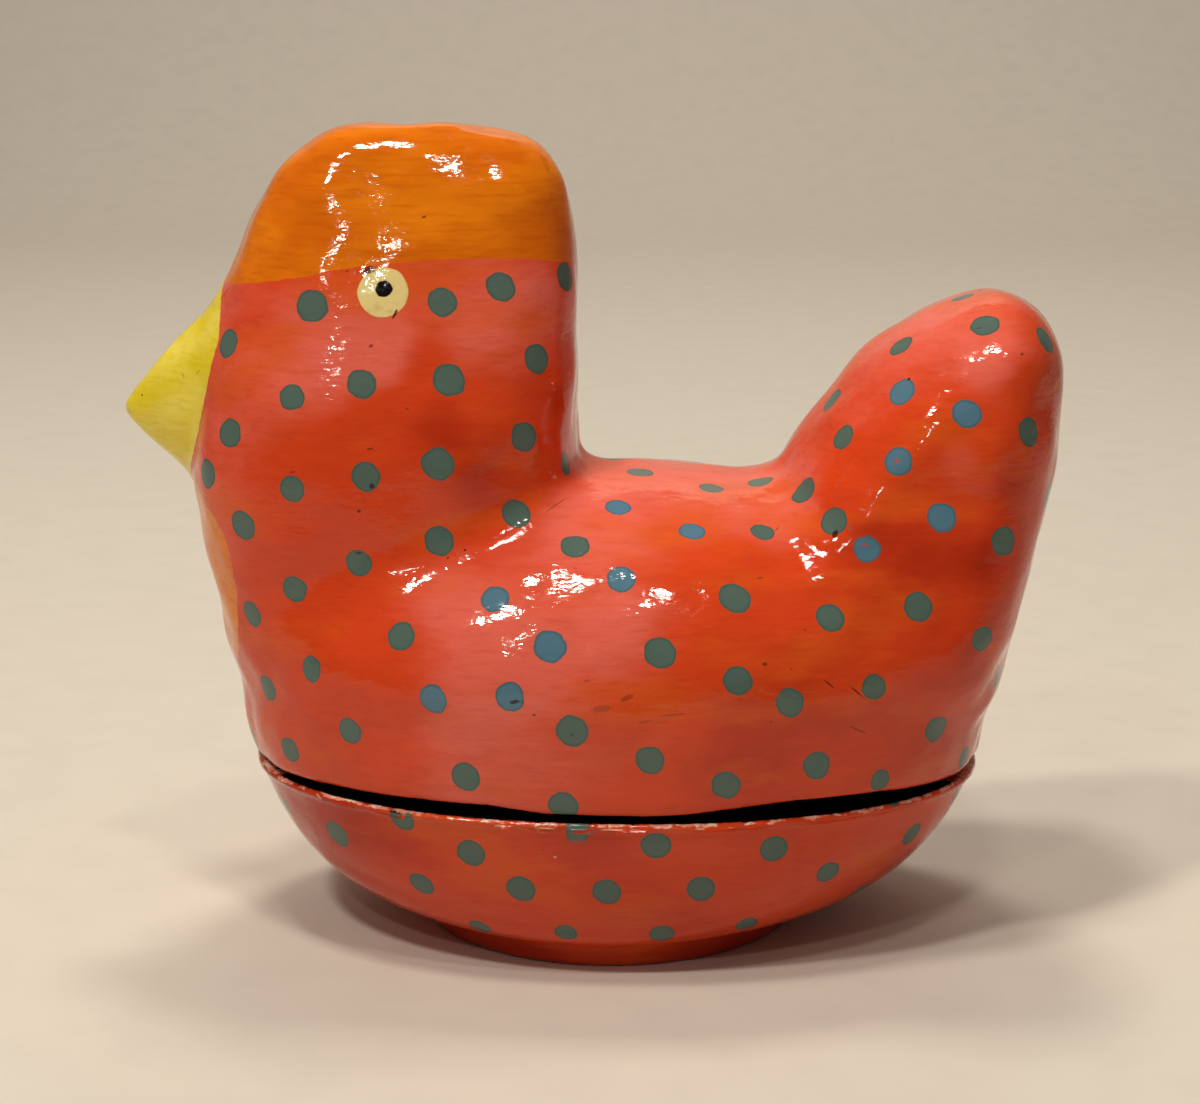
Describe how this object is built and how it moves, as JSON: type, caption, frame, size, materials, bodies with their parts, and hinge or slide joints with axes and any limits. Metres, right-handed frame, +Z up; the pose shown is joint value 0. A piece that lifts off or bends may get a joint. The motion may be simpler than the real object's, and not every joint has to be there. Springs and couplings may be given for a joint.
{
  "type": "chicken trinket box",
  "caption": "Small painted box in the shape of a sitting hen: the hollow hen lifts off as the lid of a shallow oval bowl on a round foot.",
  "frame": {"origin": "centre of the foot's flat underside, on the surface that it stands on", "axes": "+Z up, -X towards the beak and +X towards the tail, so +Y is the hen's own right side away from the pictured side"},
  "size_m": [0.1035, 0.0584, 0.0887],
  "materials": {
    "lid_lacquer": "glossy clear lacquer over hand-painted vermilion with grey-teal dots, orange comb and yellow beak, black inside",
    "bowl_lacquer": "glossy clear lacquer over hand-painted vermilion with grey-teal dots, black inside and on the collar"
  },
  "bodies": {
    "root": {"hen_lid": "lid_lacquer", "bowl_base": "bowl_lacquer"}
  },
  "joints": []
}
